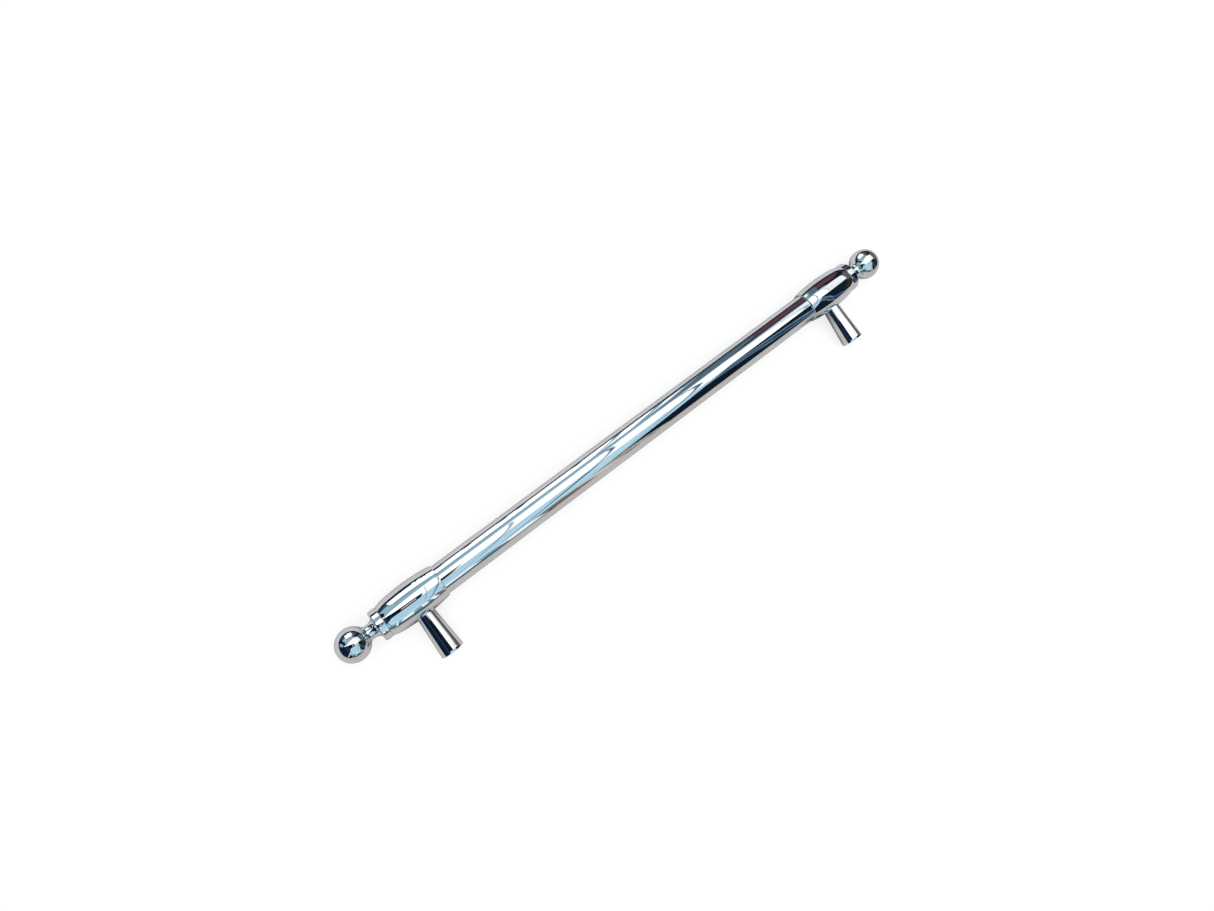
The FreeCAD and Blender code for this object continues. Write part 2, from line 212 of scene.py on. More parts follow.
def finished(name, mesh):
    """Turn a bmesh into an object with smooth faces and sharp edges where it is angular."""
    bmesh.ops.recalc_face_normals(mesh, faces=mesh.faces)
    data = bpy.data.meshes.new(name)
    mesh.to_mesh(data)
    mesh.free()
    data.polygons.foreach_set("use_smooth", [True] * len(data.polygons))
    data.set_sharp_from_angle(angle=math.radians(SHARP_DEG))
    return linked(bpy.data.objects.new(name, data))


def install(piece, node, material):
    """The piece stands for a CAD node, rides on the body and takes a material."""
    piece.data.materials.append(material)
    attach(piece, BODY)
    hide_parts(node)


# Material helpers

SMUDGE_SCALE = 55.0                  # soft marks of about 2 cm
GRAIN_SCALE = 10.0
RELIEF = 0.02 * MM                   # depth of the waves and grain in a finish


def new_material(name):
    """A material with its nodes and links, ready to build on."""
    material = bpy.data.materials.new(name)
    material.use_nodes = True
    return material, material.node_tree.nodes, material.node_tree.links


def noise_value(nodes, links, coordinates, stretch, scale, detail=4.0):
    """A noise texture over the object's own coordinates, stretched along its axes."""
    mapping = nodes.new("ShaderNodeMapping")
    mapping.inputs["Scale"].default_value = stretch
    links.new(coordinates.outputs["Object"], mapping.inputs["Vector"])
    noise = nodes.new("ShaderNodeTexNoise")
    noise.inputs["Scale"].default_value = scale
    noise.inputs["Detail"].default_value = detail
    links.new(mapping.outputs["Vector"], noise.inputs["Vector"])
    return noise.outputs["Fac"]


def ranged(nodes, links, value, low, high, from_low=0.35, from_high=0.65):
    """Spread a noise value over a range."""
    spread = nodes.new("ShaderNodeMapRange")
    spread.inputs["From Min"].default_value = from_low
    spread.inputs["From Max"].default_value = from_high
    spread.inputs["To Min"].default_value = low
    spread.inputs["To Max"].default_value = high
    links.new(value, spread.inputs["Value"])
    return spread.outputs["Result"]


def tinted(nodes, links, value, dark, light):
    """Blend two colours by a value from 0 to 1."""
    mix = nodes.new("ShaderNodeMix")
    mix.data_type = "RGBA"
    mix.inputs["A"].default_value = (*dark, 1)
    mix.inputs["B"].default_value = (*light, 1)
    links.new(value, mix.inputs["Factor"])
    return mix.outputs["Result"]


def bumped(nodes, links, value):
    """A normal that follows a value as a very shallow relief."""
    bump = nodes.new("ShaderNodeBump")
    bump.inputs["Strength"].default_value = 1.0
    bump.inputs["Distance"].default_value = RELIEF
    links.new(value, bump.inputs["Height"])
    return bump.outputs["Normal"]


def metal(name, tones, roughness, grain, wave):
    """Metal with soft smudges, fine grain along the tool's path and a slight waviness of the surface.

    tones are its dark and light colour, roughness its lowest and highest, grain and wave how the noise
    for the tool marks and for the waves is squeezed along X, Y and Z.
    """
    material, nodes, links = new_material(name)
    shader = nodes["Principled BSDF"]
    shader.inputs["Metallic"].default_value = 1.0
    coordinates = nodes.new("ShaderNodeTexCoord")
    smudge = noise_value(nodes, links, coordinates, (1, 1, 1), SMUDGE_SCALE, 5.0)
    lines = noise_value(nodes, links, coordinates, grain, GRAIN_SCALE, 2.0)
    colour = tinted(nodes, links, ranged(nodes, links, smudge, 0.0, 1.0), *tones)
    links.new(colour, shader.inputs["Base Color"])
    blend = nodes.new("ShaderNodeMath")
    blend.operation = "MULTIPLY"
    links.new(ranged(nodes, links, smudge, *roughness), blend.inputs[0])
    links.new(ranged(nodes, links, lines, 0.8, 1.2), blend.inputs[1])
    links.new(blend.outputs["Value"], shader.inputs["Roughness"])
    swell = noise_value(nodes, links, coordinates, wave, 1.0, 2.0)
    links.new(bumped(nodes, links, swell), shader.inputs["Normal"])
    return material


def make_materials():
    """The finishes, by the names of the record's material slots."""
    chrome = ((0.74, 0.77, 0.79), (0.80, 0.825, 0.84))
    zinc = ((0.45, 0.47, 0.50), (0.62, 0.64, 0.66))
    brass = ((0.55, 0.38, 0.14), (0.76, 0.57, 0.26))
    return {
        "tube_chrome": metal("chrome_tube", chrome, (0.03, 0.05), (4, 160, 160), (14, 60, 60)),
        "fitting_chrome": metal("chrome_fitting", chrome, (0.03, 0.06), (200, 8, 8), (60, 60, 60)),
        "zinc_steel": metal("zinc_steel", zinc, (0.22, 0.42), (200, 20, 20), (300, 300, 300)),
        "brass": metal("turned_brass", brass, (0.18, 0.36), (300, 12, 12), (300, 300, 300)),
        "nylon": make_nylon(),
    }


def make_nylon():
    """Slightly waxy natural nylon."""
    material, nodes, links = new_material("natural_nylon")
    shader = nodes["Principled BSDF"]
    shader.inputs["Subsurface Weight"].default_value = 0.2
    coordinates = nodes.new("ShaderNodeTexCoord")
    cloud = noise_value(nodes, links, coordinates, (1, 1, 1), 140.0)
    dark, light = (0.66, 0.64, 0.57), (0.80, 0.78, 0.72)
    colour = tinted(nodes, links, ranged(nodes, links, cloud, 0.0, 1.0), dark, light)
    links.new(colour, shader.inputs["Base Color"])
    links.new(ranged(nodes, links, cloud, 0.35, 0.5), shader.inputs["Roughness"])
    fine = noise_value(nodes, links, coordinates, (1, 1, 1), 1500.0)
    links.new(bumped(nodes, links, fine), shader.inputs["Normal"])
    return material


# Pieces

def make_tube(material):
    """The grip: a hollow tube with broken edges at both ends."""
    inner = TUBE_R - TUBE_WALL
    rounding = EDGE / 2
    half = (
        straight((0, TUBE_R), (TUBE_END_X - rounding, TUBE_R), 24)
        + arc((TUBE_END_X - rounding, TUBE_R - rounding), rounding, 90, 0, 3)
        + arc((TUBE_END_X - rounding, inner + rounding), rounding, 0, -90, 3)
        + straight((TUBE_END_X - 2 * rounding, inner), (0, inner), 8)
    )
    other = [(-along, radius) for along, radius in reversed(half[1:])]
    outline = half + [(0, inner)] + other
    piece = turned("tube_polished", outline, along_bar(1), closed=True)
    install(piece, "grip_tube", material)


def barrel_outline(steps=56):
    """Outside of the socket from the mouth's rounding to the chamfer of its end."""
    first, last = MOUTH_X + EDGE, SOCKET_END_X - EDGE
    spots = [first + (last - first) * n / steps for n in range(steps)]
    return [(x, barrel_radius(x)) for x in spots + [last - EDGE_GUARD, last]]


def make_socket(side, material):
    """Barrel with a rounded lip, a bore for the tube, a ring groove and an end wall with a stud hole."""
    bore = TUBE_R + BORE_GAP
    floor_x = TUBE_END_X + SOCKET_FLOOR_GAP
    lip_r = barrel_radius(MOUTH_X + EDGE) - EDGE
    groove_r = ring_high.z + GROOVE_GAP
    outline = (
        [(MOUTH_X + EDGE, bore), (MOUTH_X, bore + EDGE)]
        + arc((MOUTH_X + EDGE, lip_r), EDGE, 180, 90, 5)
        + barrel_outline()[1:]
        + [(SOCKET_END_X, SOCKET_END_R - EDGE), (SOCKET_END_X, STUD_CLEAR_R)]
        + [(floor_x, STUD_CLEAR_R), (floor_x, bore), (ring_high.x, bore), (ring_high.x, groove_r)]
        + [(ring_low.x, groove_r), (ring_low.x, bore)]
    )
    piece = turned(f"socket_barrel_{side}", outline, along_bar(SIDES[side]), closed=True)
    install(piece, f"socket_{side}", material)


def make_tube_ring(side, material):
    """Ring with rounded corners, in the groove behind the socket's mouth."""
    corner = RING_ROUND
    high, low = ring_high.z, TUBE_R + RING_GAP
    left, right = ring_low.x, ring_high.x
    outline = (
        arc((left + corner, high - corner), corner, 180, 90, 4)
        + arc((right - corner, high - corner), corner, 90, 0, 4)
        + arc((right - corner, low + corner), corner, 0, -90, 4)
        + arc((left + corner, low + corner), corner, -90, -180, 4)
    )
    piece = turned(f"mouth_ring_{side}", outline, along_bar(SIDES[side]), closed=True)
    install(piece, f"tube_ring_{side}", material)


def collar_radius(x):
    """Radius of the collar's crowned outside at a distance x along the bar."""
    middle = (SOCKET_END_X + COLLAR_END_X) / 2
    rise = math.sqrt(COLLAR_BULGE ** 2 - (x - middle) ** 2)
    return COLLAR_END_R + rise - math.sqrt(COLLAR_BULGE ** 2 - (COLLAR_END_X - middle) ** 2)


def make_collar(side, material):
    """Crowned ring with a small chamfer against the socket and a rounded outer end."""
    corner_x = COLLAR_END_X - COLLAR_ROUND
    corner = (corner_x, collar_radius(corner_x) - COLLAR_ROUND)
    first, steps = SOCKET_END_X + EDGE, 8
    spots = [first, first + EDGE_GUARD] + [first + (corner_x - first) * n / steps for n in range(1, steps)]
    outline = (
        [(SOCKET_END_X, STUD_CLEAR_R), (SOCKET_END_X, collar_radius(first) - EDGE)]
        + [(x, collar_radius(x)) for x in spots]
        + arc(corner, COLLAR_ROUND, 90, 0, 8)
        + [(COLLAR_END_X, STUD_CLEAR_R)]
    )
    piece = turned(f"collar_ring_{side}", outline, along_bar(SIDES[side]), closed=True)
    install(piece, f"collar_{side}", material)


def make_finial(side, material):
    """Flared foot, neck, hollow blend and ball, with the stud's hole in the foot."""
    ball_x = TIP_X - BALL_R
    blend_y = NECK_R + NECK_BLEND
    blend_x = ball_x - math.sqrt((BALL_R + NECK_BLEND) ** 2 - blend_y ** 2)
    meeting_deg = math.degrees(math.atan2(blend_y, blend_x - ball_x))
    flare_x = COLLAR_END_X + FLARE_LENGTH
    flare_curve = bulge_radius(FLARE_LENGTH, FLARE_R - NECK_R)
    flare_deg = math.degrees(math.asin(FLARE_LENGTH / flare_curve))
    outline = (
        [(COLLAR_END_X, STUD_HOLE_R)]
        + arc((flare_x, NECK_R + flare_curve), flare_curve, -90 - flare_deg, -90, 12)
        + arc((blend_x, blend_y), NECK_BLEND, -90, meeting_deg - 180, 10)[:-1]
        + arc((ball_x, 0), BALL_R, meeting_deg, 0, 64)[:-1]
        + [(TIP_X, 0)]
    )
    hole_x = COLLAR_END_X + FINIAL_HOLE_DEPTH
    hole = [(hole_x, 0), (hole_x, STUD_HOLE_R)]
    piece = turned(f"ball_finial_{side}", hole + outline, along_bar(SIDES[side]))
    install(piece, f"finial_{side}", material)


def saddle_height(radius, angle):
    """Distance from the wall at which a line parallel to the post's axis meets the socket."""
    x = POST_X + radius * math.cos(angle)
    z = radius * math.sin(angle)
    return STANDOFF - math.sqrt(barrel_radius(x) ** 2 - z * z)


def post_radius(height):
    """Radius of the post's cone at a distance from the wall."""
    return FOOT_R + (POST_TOP_R - FOOT_R) * height / POST_TOP_HEIGHT


def make_post(side, material):
    """Cone with a rounded foot, a saddle top that fits the socket, and a counterbore from the foot."""
    top_r = post_radius(STANDOFF - CROWN_R)
    foot = arc((EDGE, FOOT_R - EDGE), EDGE, 180, 95, 5)
    wall = [(n / POST_RINGS, top_r) for n in range(1, POST_RINGS + 1)]
    saddle = [(1, top_r - EDGE / 2), (1, (top_r + SCREW_CLEAR_R) / 2), (1, SCREW_CLEAR_R)]
    inside = [(SHOULDER_HEIGHT, SCREW_CLEAR_R), (SHOULDER_HEIGHT, BORE_R), (EDGE, BORE_R)]
    outline = foot + wall + saddle + inside + [(0, BORE_R + EDGE)]
    first_wall = len(foot)
    first_saddle = first_wall + len(wall)
    first_inside = first_saddle + len(saddle)

    def shape(number, along, radius, angle):
        # On the wall, along is the share of the way up from the foot's rounding to the saddle.
        if first_wall <= number < first_saddle:
            top = saddle_height(top_r, angle) - EDGE / 2
            height = EDGE + (top - EDGE) * along
            return height, post_radius(height)
        if first_saddle <= number < first_inside:
            return saddle_height(radius, angle), radius
        return along, radius

    piece = turned(f"post_cone_{side}", outline, along_post(SIDES[side]), closed=True, shape=shape)
    install(piece, f"post_{side}", material)


def thread_depth(along, angle, pitch, depth, start, end):
    """How far a helical thread is cut in at a point, fading out over a pitch at both ends."""
    phase = (along / pitch - angle / FULL_TURN) % 1.0
    groove = 1 - abs(2 * phase - 1)
    fade = min(1.0, max(0.0, (along - start) / pitch), max(0.0, (end - along) / pitch))
    return depth * groove * fade


def make_stud(side, material):
    """Threaded rod with chamfered ends."""
    pitch, depth, chamfer = 1.0 * MM, 0.5 * MM, 0.6 * MM
    start, end, radius = stud_low.x, stud_high.x, stud_high.z
    rings = int((end - start - 2 * chamfer) / pitch * RINGS_PER_PITCH)
    body = straight((start + chamfer, radius), (end - chamfer, radius), rings) + [(end - chamfer, radius)]
    outline = [(start, 0), (start, radius - chamfer)] + body + [(end, radius - chamfer), (end, 0)]

    def shape(number, along, ring_r, angle):
        cut = thread_depth(along, angle, pitch, depth, start + chamfer, end - chamfer)
        return along, ring_r - cut

    piece = turned(f"stud_thread_{side}", outline, along_bar(SIDES[side]),
                   segments=THREAD_SEGMENTS, shape=shape)
    install(piece, f"finial_stud_{side}", material)


def hexagon_radius(across_flats, angle):
    """Distance from a hexagon's middle to its edge in one direction."""
    sixth = FULL_TURN / 6
    return across_flats / 2 / math.cos((angle % sixth) - sixth / 2)


def make_post_screw(side, material):
    """Cap screw: knurled head with a hexagon socket, and a threaded shank."""
    pitch, depth, chamfer = 0.8 * MM, 0.4 * MM, 0.4 * MM
    head_height, key_size, key_depth = 5.0 * MM, 4.0 * MM, 2.5 * MM
    knurls, knurl_depth = HEAD_SEGMENTS / 2, 0.12 * MM
    low, high, head_r = -screw_high.y, -screw_low.y, screw_high.z
    seat, shank_r = low + head_height, 2.5 * MM
    rings = int((high - seat - chamfer) / pitch * RINGS_PER_PITCH)
    shank = straight((seat, shank_r), (high - chamfer, shank_r), rings) + [(high - chamfer, shank_r)]
    knurl = straight((low + chamfer, head_r), (seat - chamfer, head_r), 4) + [(seat - chamfer, head_r)]
    socket = [(low + key_depth, 0), (low + key_depth, key_size), (low, key_size)]
    outline = socket + [(low, head_r - chamfer)] + knurl + [(seat, head_r - chamfer)] + shank
    outline += [(high, shank_r - chamfer), (high, 0)]
    first_knurl = len(socket) + 1
    first_shank = first_knurl + len(knurl) + 1

    def shape(number, along, ring_r, angle):
        if number < len(socket):
            return along, hexagon_radius(key_size, angle)
        if first_knurl <= number < first_knurl + len(knurl):
            return along, ring_r - knurl_depth / 2 * (1 + math.cos(knurls * angle))
        if first_shank <= number < first_shank + len(shank):
            return along, ring_r - thread_depth(along, angle, pitch, depth, seat + pitch, high - chamfer)
        return along, ring_r

    piece = turned(f"cap_screw_{side}", outline, along_post(SIDES[side]),
                   segments=HEAD_SEGMENTS, shape=shape)
    install(piece, f"post_screw_{side}", material)


def make_foot_insert(side, material):
    """Bush with a countersunk, threaded hole."""
    pitch, depth, chamfer, hole_r = 0.7 * MM, 0.35 * MM, 0.5 * MM, 1.65 * MM
    rings = int((INSERT_LENGTH - 2 * chamfer) / pitch * RINGS_PER_PITCH)
    hole = straight((INSERT_LENGTH, hole_r), (chamfer, hole_r), rings) + [(chamfer, hole_r)]
    outside = [(0, hole_r + chamfer), (0, BORE_R - EDGE / 2), (EDGE / 2, BORE_R)]
    outside += [(INSERT_LENGTH - chamfer, BORE_R), (INSERT_LENGTH, BORE_R - chamfer)]

    def shape(number, along, ring_r, angle):
        if number < len(outside):
            return along, ring_r
        return along, ring_r + thread_depth(along, angle, pitch, depth, 0, INSERT_LENGTH)

    piece = turned(f"threaded_bush_{side}", outside + hole, along_post(SIDES[side]), closed=True,
                   segments=THREAD_SEGMENTS, shape=shape)
    install(piece, f"foot_insert_{side}", material)


def finish_cad_node(name, material):
    """A CAD node whose shape is right keeps its mesh and gets a better material."""
    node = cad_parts[name]
    node.data.materials.clear()
    node.data.materials.append(material)


# Stage

FLOOR_RISE_DEG = 6.92                # the barrels and the feet's lower rims touch this plane
FLOOR_HALF = 7.0                     # half the length of the floor's sides
FLOOR_GREY = 0.30                    # dark enough for a soft shadow, and the glow makes up the rest
FLOOR_GLOW = 0.75
DOME_R = 8.0
SHADE_REACH = 0.02                   # how near a piece paints shade into the table's colour under it


def stage_piece(name, mesh):
    """Turn a bmesh into an object that belongs to the stage."""
    data = bpy.data.meshes.new(name)
    mesh.to_mesh(data)
    mesh.free()
    piece = linked(bpy.data.objects.new(name, data))
    return piece


def stage_sheet(name, corners):
    """A four-sided sheet of the stage, from its corners in order."""
    mesh = bmesh.new()
    mesh.faces.new([mesh.verts.new(corner) for corner in corners])
    return stage_piece(name, mesh)


def seen_by(piece, camera, glossy):
    """Choose which rays see a stage piece. None of them casts a shadow or lights the floor."""
    piece.visible_camera = camera
    piece.visible_glossy = glossy
    piece.visible_diffuse = False
    piece.visible_shadow = False
    piece.visible_transmission = False


def glow(name, colour, brightness, streaks=0.0):
    """A glowing stage material. Streaks along the bar vary its brightness by that share, up and down."""
    material, nodes, links = new_material(name)
    nodes.clear()
    emission = nodes.new("ShaderNodeEmission")
    emission.inputs["Color"].default_value = (*colour, 1)
    emission.inputs["Strength"].default_value = brightness
    if streaks:
        coordinates = nodes.new("ShaderNodeTexCoord")
        lines = noise_value(nodes, links, coordinates, (0.1, 1, 1), 9.0, 3.0)
        dim, bright = brightness * (1 - streaks), brightness * (1 + streaks)
        links.new(ranged(nodes, links, lines, dim, bright), emission.inputs["Strength"])
    output = nodes.new("ShaderNodeOutputMaterial")
    links.new(emission.outputs["Emission"], output.inputs["Surface"])
    return material


def floor_height(y):
    """Height of the floor under a point, where it just touches the barrels."""
    slope = math.radians(FLOOR_RISE_DEG)
    return (y - BAR_Y) * math.tan(slope) - CROWN_R / math.cos(slope)


def floor_sheet(name, left, right, front, back):
    """A rectangle of the floor plane."""
    low, high = floor_height(front), floor_height(back)
    corners = ((left, front, low), (right, front, low), (right, back, high), (left, back, high))
    return stage_sheet(name, corners)


def make_floor():
    """The floor that the camera sees: nearly white, with soft shadows."""
    floor = floor_sheet("floor", -FLOOR_HALF, FLOOR_HALF, -FLOOR_HALF, FLOOR_HALF)
    material, nodes, links = new_material("pale_floor")
    shader = nodes["Principled BSDF"]
    shader.inputs["Base Color"].default_value = (FLOOR_GREY, FLOOR_GREY, FLOOR_GREY, 1)
    shader.inputs["Roughness"].default_value = 1.0
    shader.inputs["Specular IOR Level"].default_value = 0.0
    shader.inputs["Emission Color"].default_value = (1, 1, 1, 1)
    shader.inputs["Emission Strength"].default_value = FLOOR_GLOW
    floor.data.materials.append(material)
    seen_by(floor, camera=True, glossy=False)


def make_table():
    """The table top that the chrome reflects: warm towards the back, lighter and bluer towards the windows
    in front as a painted sheen of the windows, and darkened by painted shade near the pieces.
    """
    table = floor_sheet("table_top", left=-1.6, right=1.3, front=-0.26, back=1.2)
    material, nodes, links = new_material("table_tone_sheen_and_shade")
    shader = nodes["Principled BSDF"]
    shader.inputs["Roughness"].default_value = 1.0
    shader.inputs["Specular IOR Level"].default_value = 0.0
    coordinates = nodes.new("ShaderNodeTexCoord")
    split = nodes.new("ShaderNodeSeparateXYZ")
    links.new(coordinates.outputs["Object"], split.inputs["Vector"])
    # Painted sheen: towards the windows in front the table's colour is lighter and bluer, standing in for
    # their reflection on it.
    sheen_fades_towards_back = ranged(nodes, links, split.outputs["Y"], 0.0, 1.0, from_low=-0.12, from_high=0.02)
    window_sheen_colour, warm = (0.70, 0.70, 0.72), (0.62, 0.575, 0.54)
    tone_and_window_sheen = tinted(nodes, links, sheen_fades_towards_back, window_sheen_colour, warm)
    grain = noise_value(nodes, links, coordinates, (3, 40, 1), 4.0, 4.0)
    dark, light = (0.80, 0.80, 0.80), (1.15, 1.15, 1.15)
    # Painted shade: ambient occlusion darkens the table's colour near the pieces, in place of their contact
    # shadow.
    painted_shade = nodes.new("ShaderNodeAmbientOcclusion")
    painted_shade.inputs["Distance"].default_value = SHADE_REACH
    links.new(tone_and_window_sheen, painted_shade.inputs["Color"])
    blend = nodes.new("ShaderNodeMix")
    blend.data_type = "RGBA"
    blend.blend_type = "MULTIPLY"
    blend.inputs["Factor"].default_value = 1.0
    links.new(painted_shade.outputs["Color"], blend.inputs["A"])
    links.new(tinted(nodes, links, grain, dark, light), blend.inputs["B"])
    links.new(blend.outputs["Result"], shader.inputs["Base Color"])
    table.data.materials.append(material)
    seen_by(table, camera=False, glossy=True)


def make_backdrop():
    """A white dome behind everything, seen only by the camera."""
    mesh = bmesh.new()
    bmesh.ops.create_uvsphere(mesh, u_segments=48, v_segments=24, radius=DOME_R)
    backdrop = stage_piece("backdrop", mesh)
    backdrop.data.materials.append(glow("backdrop_white", (1, 1, 1), 1.0))
    seen_by(backdrop, camera=True, glossy=False)


# The room that the chrome reflects, in metres about the handle: a ceiling, a wall of windows in front of
# the bar, a back wall and side walls. The panels stand where the reflections in the photo ask for them.
CEILING = 2.3
FRONT = -2.6
BACK = 2.6
LEFT = -3.2
RIGHT = 2.6
WALL_FOOT = 0.05                     # the left wall and the curtain start here
FRONT_FOOT = 0.1                     # the pieces of the front wall start here
LOW_WALL = 0.85                      # top of the dark low wall at the right of the windows
CUPBOARD = 0.55                      # top of the low cupboards
CAMERA_HEIGHT = 0.72
SCREEN_X = 0.85
SCREEN_TOP = 0.66
LAYER = 0.02                         # overlapping panels of the front wall stand this far apart

WHITE = (1.0, 1.0, 1.0)
COOL_WHITE = (0.94, 0.98, 1.0)
PALE_BLUE = (0.54, 0.80, 0.96)
STEEL = (0.27, 0.42, 0.51)
TEAL = (0.056, 0.13, 0.18)
NAVY = (0.006, 0.014, 0.028)
BLACK = (0.004, 0.008, 0.014)
ROYAL = (0.02, 0.06, 0.16)
SLATE = (0.05, 0.13, 0.24)
MAROON = (0.13, 0.056, 0.076)
BEIGE = (0.62, 0.57, 0.52)
BROWN = (0.17, 0.14, 0.12)
OLIVE = (0.035, 0.04, 0.036)
GREY = (0.13, 0.14, 0.13)


def room_panel(name, corners, colour, brightness=1.0, streaks=0.0):
    """A glowing sheet that only reflections see."""
    piece = stage_sheet(name, corners)
    piece.data.materials.append(glow(name, colour, brightness, streaks))
    seen_by(piece, camera=False, glossy=True)


def ceiling_panel(name, outline, colour, brightness=1.0, streaks=0.2, drop=0.0):
    """A glowing sheet on the ceiling or a drop under it, from the X and Y of its corners."""
    room_panel(name, [(x, y, CEILING - drop) for x, y in outline], colour, brightness, streaks)


def ceiling_strip(name, start, end, width, colour, brightness=1.0):
    """A thin glowing line just under the ceiling."""
    (x0, y0), (x1, y1) = start, end
    outline = ((x0 - width / 2, y0), (x0 + width / 2, y0), (x1 + width / 2, y1), (x1 - width / 2, y1))
    ceiling_panel(name, outline, colour, brightness, streaks=0.0, drop=0.03)


def wall_panel(name, y, left, right, bottom, top, colour, brightness=1.0, streaks=0.2):
    """A glowing rectangle on the front or back wall."""
    corners = ((left, y, bottom), (right, y, bottom), (right, y, top), (left, y, top))
    room_panel(name, corners, colour, brightness, streaks)


def side_panel(name, x, front, back, bottom, top, colour, brightness=1.0, streaks=0.2):
    """A glowing rectangle on the left or right wall."""
    corners = ((x, front, bottom), (x, back, bottom), (x, back, top), (x, front, top))
    room_panel(name, corners, colour, brightness, streaks)


def make_ceiling():
    """The room is turned a little about the vertical, so its joints slant across the bar."""
    ceiling_panel("ceiling_light", ((-1.62, -2.15), (1.9, -1.15), (1.9, 0.08), (-1.62, 0.08)), WHITE, 1.5)
    ceiling_panel("ceiling_light_right", ((1.9, -1.5), (3.6, -1.8), (3.6, -0.35), (1.9, -0.25)), WHITE, 1.1)
    ceiling_panel("ceiling_light_far", ((-3.9, -2.2), (-1.60, -1.95), (-1.60, 0.1), (-3.9, 0.1)),
                  COOL_WHITE, 1.15, drop=0.01)
    ceiling_panel("ceiling_blue", ((-1.25, 0.08), (2.9, 0.08), (3.2, 3.9), (-0.80, 3.9)), PALE_BLUE)
    ceiling_panel("front_edge", ((-2.3, FRONT), (1.9, FRONT), (1.9, -1.15), (-2.3, -2.2)), STEEL, 1.25)
    ceiling_strip("joint_middle", (-0.87, -2.2), (-0.45, 1.3), 0.03, SLATE)
    ceiling_strip("beam_middle", (-0.57, 0.3), (-0.25, 3.0), 0.08, SLATE)
    ceiling_strip("joint_left", (-1.30, -2.2), (-0.86, 1.4), 0.04, SLATE)
    ceiling_strip("joint_far", (-1.74, -1.5), (-1.62, 0.0), 0.025, STEEL, 0.9)
    ceiling_strip("joint_thin", (-0.28, -1.4), (0.0, 3.0), 0.02, STEEL, 0.6)
    ceiling_strip("beam_right", (1.8, 0.2), (2.1, 3.0), 0.14, TEAL)
    ceiling_strip("cable_left", (-1.24, 0.36), (-2.40, 2.55), 0.07, PALE_BLUE, 0.45)
    ceiling_strip("cable_right", (-1.16, 0.72), (-2.10, 2.55), 0.06, PALE_BLUE, 0.35)
    ceiling_panel("banner_near", ((-1.24, 0.36), (-1.16, 0.72), (-1.58, 1.55), (-1.86, 1.55)), SLATE, 0.9)
    ceiling_panel("banner_far", ((-1.86, 1.55), (-1.58, 1.55), (-2.10, BACK), (-2.43, BACK)), ROYAL)


def make_window_wall():
    """Three windows with dark things on the sill, and the wall round them."""
    wall_panel("window_main", FRONT, -0.78, 0.70, -0.05, 1.50, WHITE, 1.5)
    wall_panel("window_left", FRONT, -0.99, -0.83, 0.08, 1.48, WHITE, 1.5)
    wall_panel("window_end", FRONT, -1.16, -1.055, 0.35, 1.2, WHITE, 1.2)
    near, far, half_width = FRONT + LAYER, FRONT - LAYER, 0.02
    for number, x in enumerate((-0.60, -0.33, -0.25, -0.09, 0.28)):
        wall_panel(f"window_foot_{number}", near, x - half_width, x + half_width, -0.05, 0.20, NAVY)
    wall_panel("window_sill", near, 0.02, 0.70, -0.10, 0.16, NAVY)
    wall_panel("front_wall_right", far, -1.25, 0.7, FRONT_FOOT, CEILING, STEEL)
    wall_panel("front_wall_low", far, 0.7, 1.9, FRONT_FOOT, LOW_WALL, TEAL, 0.7, 0.5)
    wall_panel("front_wall_end", far, 0.7, 1.9, LOW_WALL, CEILING, PALE_BLUE, 0.7)


def make_left_end():
    """A dark curtain, the piece of wall between it and the windows, and the left wall."""
    left, right, top = -2.75, -1.5, 1.6
    curtain = ((left, FRONT, WALL_FOOT), (right, FRONT, WALL_FOOT), (-1.72, FRONT, top), (left, FRONT, top))
    room_panel("curtain", curtain, MAROON, 1.0, 0.4)
    slate = ((right, FRONT, WALL_FOOT), (-1.25, FRONT, WALL_FOOT),
             (-1.25, FRONT, CEILING), (-1.8, FRONT, CEILING))
    room_panel("slate_wall", slate, STEEL, 0.4, 0.4)
    side_panel("left_wall_low", LEFT, FRONT, BACK, WALL_FOOT, CUPBOARD, OLIVE)
    side_panel("left_wall", LEFT, -1.9, 0.6, CUPBOARD, 2.2, GREY)
    side_panel("left_wall_back", LEFT, 0.6, BACK, CUPBOARD, 2.2, OLIVE, 0.8)


def make_back_wall():
    """Cupboards, a wall with window panes above them, a tall blue banner and a row of chair backs."""
    wall_panel("low_cupboard", BACK, LEFT, RIGHT, 0.0, CUPBOARD, BEIGE)
    wall_panel("back_wall", BACK, -0.45, 2.4, CUPBOARD, 1.5, TEAL, 1.2, 0.5)
    wall_panel("back_wall_top", BACK, -0.45, 2.4, 1.5, CEILING, STEEL, 1.0, 0.5)
    banner = ((-2.80, BACK, CUPBOARD), (-2.02, BACK, CUPBOARD),
              (-2.08, BACK, CEILING), (-2.43, BACK, CEILING))
    room_panel("banner", banner, ROYAL, 1.0, 0.5)
    edge_y, edge_width = BACK - 0.03, 0.07
    for name, top, foot in (("banner_edge_left", -2.45, -2.80), ("banner_edge_right", -2.08, -2.02)):
        corners = ((foot, edge_y, CUPBOARD), (foot + edge_width, edge_y, CUPBOARD),
                   (top + edge_width, edge_y, CEILING), (top, edge_y, CEILING))
        room_panel(name, corners, PALE_BLUE, 0.4)
    pane_y = BACK - 0.05
    panes = ((-0.45, -0.27, 0.9), (-0.14, 0.08, 1.3), (0.35, 0.75, 1.4), (1.0, 1.2, 1.0))
    for number, (left, right, bottom) in enumerate(panes):
        wall_panel(f"back_window_{number}", pane_y, left, right, bottom, 2.25, WHITE, 1.1)
    chairs = ((-0.67, -0.47, BROWN), (-0.84, -0.68, BEIGE), (-0.90, -0.85, BROWN),
              (-0.96, -0.91, BEIGE), (-1.00, -0.97, BROWN), (-1.06, -1.01, BEIGE))
    for number, (left, right, colour) in enumerate(chairs):
        wall_panel(f"chair_{number}", pane_y, left, right, 0.6, 2.2, colour, 1.2)


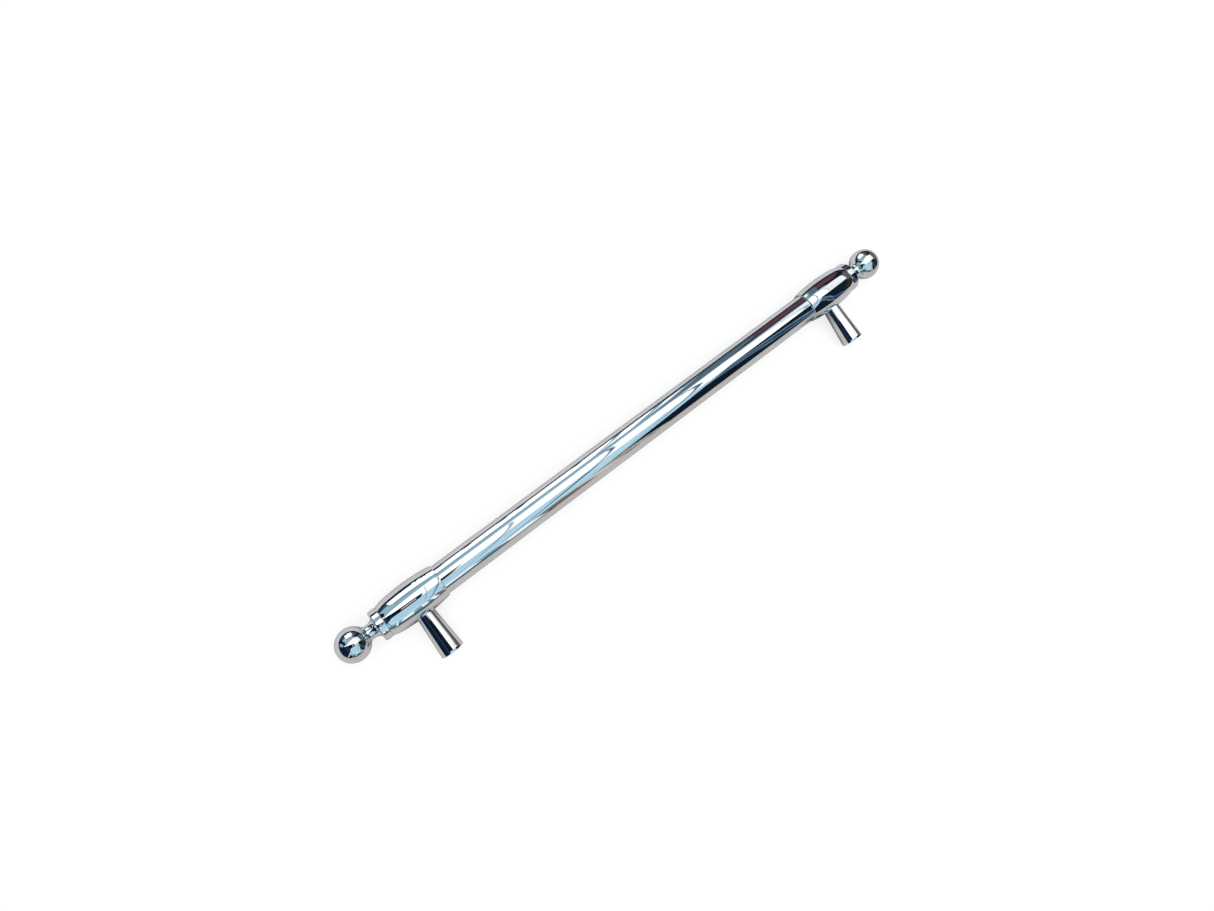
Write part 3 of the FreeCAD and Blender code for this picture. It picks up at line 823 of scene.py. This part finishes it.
def make_right_end():
    """The right wall, in two panels."""
    side_panel("right_wall_front", RIGHT + 1.0, -3.2, -0.3, 0.2, CEILING, STEEL, 1.1, 0.5)
    side_panel("right_wall_back", RIGHT, 0.3, 1.8, 0.5, 2.2, PALE_BLUE, 0.8)


def make_camera_stand():
    """The dark camera that takes the picture, its boom and the flat screen behind it, at the right end."""
    height, display_height, boom_x = CAMERA_HEIGHT, CAMERA_HEIGHT - 0.01, 0.52
    case = ((0.115, -0.13, height), (boom_x, -0.28, height), (boom_x, 0.04, height), (0.145, 0.035, height))
    room_panel("camera_case", case, BLACK)
    display = ((0.19, -0.09, display_height), (0.33, -0.10, display_height),
               (0.33, -0.05, display_height), (0.19, -0.045, display_height))
    room_panel("camera_display", display, WHITE, 0.9)
    front, back = -0.36, 0.30
    boom = ((boom_x, -0.28, height), (SCREEN_X, front, SCREEN_TOP),
            (SCREEN_X, back, SCREEN_TOP), (boom_x, 0.04, height))
    room_panel("camera_boom", boom, NAVY)
    cover = ((0.62, -0.20, 0.64), (0.82, -0.20, 0.50), (0.82, 0.16, 0.50), (0.62, 0.10, 0.64))
    room_panel("boom_cover", cover, ROYAL, 0.6)
    side_panel("dark_screen", SCREEN_X, front, back, 0.0, SCREEN_TOP, NAVY, 1.0, 0.5)


def make_lights():
    """Broad soft light from above for the floor. The chrome sees the room instead of this lamp."""
    lamp = bpy.data.lights.new("overhead", "SUN")
    lamp.energy = math.pi
    lamp.angle = math.radians(120)
    holder = linked(bpy.data.objects.new("overhead", lamp))
    holder.visible_camera = False
    holder.visible_glossy = False


def make_world():
    """What reflections see between the panels."""
    world = bpy.data.worlds.new("dim_room")
    world.use_nodes = True
    background = world.node_tree.nodes["Background"]
    background.inputs["Color"].default_value = (*NAVY, 1)
    bpy.context.scene.world = world


def make_camera():
    """Look down on the handle from over its right half, with the bar rising across the picture."""
    target = Vector((32 * MM, BAR_Y, 0))
    distance = 0.731
    back = Vector((0.2857, -0.0798, 0.9550)).normalized()
    picture_up = Vector((-0.6, -0.8, 0))             # roughly, and squared up below
    right = picture_up.cross(back).normalized()
    up = back.cross(right)
    camera_data = bpy.data.cameras.new("camera")
    camera_data.sensor_width = 36
    camera_data.lens = 26
    camera = linked(bpy.data.objects.new("camera", camera_data))
    turn = Matrix((right, up, back)).transposed()
    camera.matrix_world = Matrix.Translation(target + back * distance) @ turn.to_4x4()
    bpy.context.scene.camera = camera


make_camera()
materials = make_materials()
make_tube(materials["tube_chrome"])
for side in SIDES:
    make_socket(side, materials["fitting_chrome"])
    make_tube_ring(side, materials["nylon"])
    make_collar(side, materials["fitting_chrome"])
    make_finial(side, materials["fitting_chrome"])
    make_stud(side, materials["zinc_steel"])
    make_post(side, materials["fitting_chrome"])
    make_post_screw(side, materials["zinc_steel"])
    make_foot_insert(side, materials["brass"])
    finish_cad_node(f"tube_plug_{side}", materials["brass"])
    finish_cad_node(f"post_lock_washer_{side}", materials["zinc_steel"])
make_floor()
make_table()
make_backdrop()
make_ceiling()
make_window_wall()
make_left_end()
make_back_wall()
make_right_end()
make_camera_stand()
make_lights()
make_world()
bpy.context.scene.view_settings.view_transform = "Standard"
